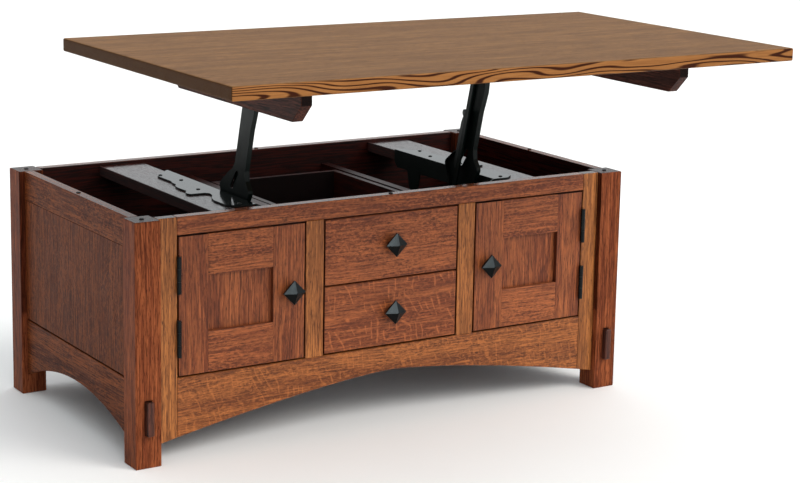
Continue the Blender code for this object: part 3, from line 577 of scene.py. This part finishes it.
def build_screws(material):
    """Screws that hold each base bracket to its board and each top bracket to the top."""
    pick = random.Random(7)
    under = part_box("table_top")[0].z - TOP_FLANGE_T
    for side, sign in SIDES:
        name = f"base_screws_{side}"
        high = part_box(f"base_bracket_{side}")[1]
        screws = [screw_mesh(f"{name}_{k}", (sign * x, high.y - from_back, high.z), (0, 0, 1),
                             pick.uniform(0, pi)) for k, (x, from_back) in enumerate(BASE_SCREWS)]
        new_piece(name, join_meshes(name, screws), material, "cabinet", "black_steel")

        name = f"top_screws_{side}"
        low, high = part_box(f"top_bracket_{side}")
        inner = low.x if sign > 0 else high.x
        spots = [(inner + sign * x, low.y + share * (high.y - low.y)) for x, share in TOP_SCREWS]
        screws = [screw_mesh(f"{name}_{k}", (x, y, under), (0, 0, -1), pick.uniform(0, pi))
                  for k, (x, y) in enumerate(spots)]
        new_piece(name, join_meshes(name, screws), material, "top", "black_steel")


def joint_point(name):
    joint = next(joint for joint in frame["joints"] if joint["name"] == name)
    return Vector(joint["pos_m"])


def plate_mesh(name, outline, start, end):
    """A flat plate: an outline of points, drawn out along X from start to end."""
    work = bmesh.new()
    face = work.faces.new([work.verts.new((start, point.y, point.z)) for point in outline])
    grown = bmesh.ops.extrude_face_region(work, geom=[face])
    moved = [part for part in grown["geom"] if isinstance(part, bmesh.types.BMVert)]
    bmesh.ops.translate(work, vec=(end - start, 0, 0), verts=moved)
    bmesh.ops.recalc_face_normals(work, faces=work.faces)
    return mesh_of(work, name)


def build_arm_fittings(material):
    """A stiffening strap inside each arm's open side, ending in a small boss."""
    foot, tip = joint_point("lift_swing"), joint_point("top_levelling")
    along = (tip - foot).normalized()
    front = Vector((0, -along.z, along.y))
    outline = [foot + reach * along + ahead * front for reach, ahead in STRAP_OUTLINE]
    centre = foot + BOSS_ALONG * along - BOSS_BEHIND * front
    for side, sign in SIDES:
        name = f"arm_strap_{side}"
        low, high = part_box(f"lift_arm_{side}")
        inner = low.x if sign > 0 else high.x
        near = inner - sign * STRAP_NEAR
        plate = plate_mesh(f"{name}_plate", outline, inner - sign * STRAP_FAR, near)
        boss = turned_mesh(f"{name}_boss", BOSS_PROFILE, (near, centre.y, centre.z), (-sign, 0, 0))
        new_piece(name, join_meshes(name, [plate, boss]), material, "lift_arms", "black_steel")


def tube_mesh(name, points, radius, sides=8):
    """A closed tube along a list of points, with no twist from ring to ring."""
    work = bmesh.new()
    rings = []
    side = None
    for k, point in enumerate(points):
        ahead = points[min(k + 1, len(points) - 1)] - points[max(k - 1, 0)]
        ahead.normalize()
        if side is None:
            side = ahead.orthogonal().normalized()
        side = (side - ahead * side.dot(ahead)).normalized()
        other = ahead.cross(side)
        rings.append([work.verts.new(point + radius * (cos(2 * pi * s / sides) * side
                                                       + sin(2 * pi * s / sides) * other))
                      for s in range(sides)])
    stitch(work, rings)
    work.faces.new(rings[0][::-1])
    work.faces.new(rings[-1])
    bmesh.ops.recalc_face_normals(work, faces=work.faces)
    return mesh_of(work, name, 50)


def build_springs(material):
    """A finely wound coil with a hook at each end, in the space of each plain CAD spring."""
    for side, sign in SIDES:
        low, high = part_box(f"lift_spring_{side}")
        inner, outer = (low.x, high.x) if sign > 0 else (high.x, low.x)
        middle = (inner + outer) / 2
        centre_x = outer - sign * (COIL_R + WIRE_R)
        first, second, third = TAIL_LENGTHS
        tail = Vector((inner + sign * WIRE_R, low.y + WIRE_R, low.z + 2.2 * COIL_R))
        anchor = Vector((centre_x, high.y - WIRE_R, high.z - COIL_R - WIRE_R))
        start = Vector((centre_x, tail.y + third, tail.z))
        end = Vector((centre_x, anchor.y - HOOK_LENGTH, anchor.z))
        points = [tail, tail + Vector((0, first, 0)), Vector((middle, tail.y + second, tail.z))]
        for k in range(COIL_TURNS * COIL_STEPS + 1):
            angle = 2 * pi * k / COIL_STEPS
            spot = start.lerp(end, k / (COIL_TURNS * COIL_STEPS))
            points.append(spot + COIL_R * Vector((sin(angle), 0, cos(angle))))
        points += [end + Vector((0, 0.004, 0.001)), anchor]
        name = f"counter_spring_{side}"
        new_piece(name, tube_mesh(name, points, WIRE_R), material, "cabinet", "spring_steel",
                  f"lift_spring_{side}")


# ---- stage -----------------------------------------------------------------------------------

def build_stage():
    graph = Graph("studio_floor")
    place = graph.add("ShaderNodeTexCoord", {}, "Object")
    cloud = graph.noise(place, (3, 3, 3), 2)
    floor_look = graph.finish(Base_Color=graph.mix(cloud, srgb(249, 248, 247), srgb(252, 251, 250)),
                              Roughness=graph.blend(cloud, 0.8, 0.9))
    mesh = bpy.data.meshes.new("studio_floor")
    corners = [(x * FLOOR_REACH, y * FLOOR_REACH, 0) for x, y in ((-1, -1), (1, -1), (1, 1), (-1, 1))]
    mesh.from_pydata(corners, [], [(0, 1, 2, 3)])
    mesh.materials.append(floor_look)
    floor = link_mesh(mesh)


def build_light():
    """A pale room, brightest overhead and in a low band behind the table, with a soft panel in
    front, dimmed towards the left, and one broad key lamp."""
    world = bpy.data.worlds.new("studio")
    bpy.context.scene.world = world
    world.use_nodes = True
    nodes, links = world.node_tree.nodes, world.node_tree.links
    backdrop = nodes["Background"]
    backdrop.inputs["Color"].default_value = (0.94, 0.98, 1.0, 1)
    ray = nodes.new("ShaderNodeTexCoord").outputs["Generated"]

    def step(value, low, high, to_low, to_high):
        node = nodes.new("ShaderNodeMapRange")
        node.interpolation_type = "SMOOTHSTEP"
        links.new(value, node.inputs[0])
        for k, number in enumerate((low, high, to_low, to_high)):
            node.inputs[k + 1].default_value = number
        return node.outputs[0]

    def combine(operation, first, second):
        node = nodes.new("ShaderNodeMath")
        node.operation = operation
        links.new(first, node.inputs[0])
        links.new(second, node.inputs[1])
        return node.outputs[0]

    def towards(direction):
        node = nodes.new("ShaderNodeVectorMath")
        node.operation = "DOT_PRODUCT"
        links.new(ray, node.inputs[0])
        node.inputs[1].default_value = direction
        return node.outputs["Value"]

    height = towards((0, 0, 1))
    behind = step(towards(BAND_AT), 0.60, 0.92, 0.0, BAND_GLOW)
    band = combine("MULTIPLY", behind, step(height, 0.62, 0.40, 0.0, 1.0))
    room = step(height, 0.25, 0.85, SIDE_GLOW, TOP_GLOW)
    panel = step(towards(PANEL_AT), 0.90, 0.96, 0.0, PANEL_GLOW)
    shade = step(towards(SHADE_AT), 0.0, 0.8, 1.0, LEFT_SHARE)
    glow = combine("ADD", combine("ADD", room, band), panel)
    links.new(combine("MULTIPLY", glow, shade), backdrop.inputs["Strength"])

    lamp = bpy.data.lights.new("key", "SUN")
    lamp.energy = KEY_POWER
    lamp.angle = radians(KEY_SPREAD)
    lamp.color = (1.0, 0.97, 0.92)
    key = bpy.data.objects.new("key", lamp)
    key.rotation_euler = Vector(KEY_RAY).to_track_quat("-Z", "Y").to_euler()
    bpy.context.scene.collection.objects.link(key)
    bpy.context.scene.view_settings.view_transform = "Standard"


def build_camera():
    data = bpy.data.cameras.new("camera")
    data.sensor_width = SENSOR
    data.lens = LENS
    data.shift_x, data.shift_y = SHIFT_X, SHIFT_Y
    data.clip_end = 200
    camera = bpy.data.objects.new("camera", data)
    yaw, pitch, roll = radians(YAW), radians(PITCH), radians(ROLL)
    ahead = Vector((sin(yaw) * cos(pitch), cos(yaw) * cos(pitch), -sin(pitch)))
    right = Vector((cos(yaw), -sin(yaw), 0))
    up = right.cross(ahead)
    tilted_right = right * cos(roll) + up * sin(roll)
    tilted_up = -right * sin(roll) + up * cos(roll)
    turn = Matrix((tilted_right, tilted_up, -ahead)).transposed()
    middle = (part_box("leg_front_left")[0].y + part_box("leg_back_left")[1].y) / 2
    camera.matrix_world = Matrix.Translation((CAMERA_X, middle + CAMERA_Y, CAMERA_Z)) @ turn.to_4x4()
    bpy.context.scene.collection.objects.link(camera)
    bpy.context.scene.camera = camera


# ---- assembly --------------------------------------------------------------------------------

paint_wood()
black_steel = paint_metal()
build_door_frames()
build_end_boards()
build_arm_fittings(black_steel)
build_bumpers(rubber("bumper_rubber"))
build_screws(steel("screw_steel", (58, 60, 60), (130, 130, 126), 0.32, 0.8))
build_springs(steel("spring_wire", (70, 72, 72), (140, 140, 136), 0.3, 0.9))
build_stage()
build_light()
build_camera()
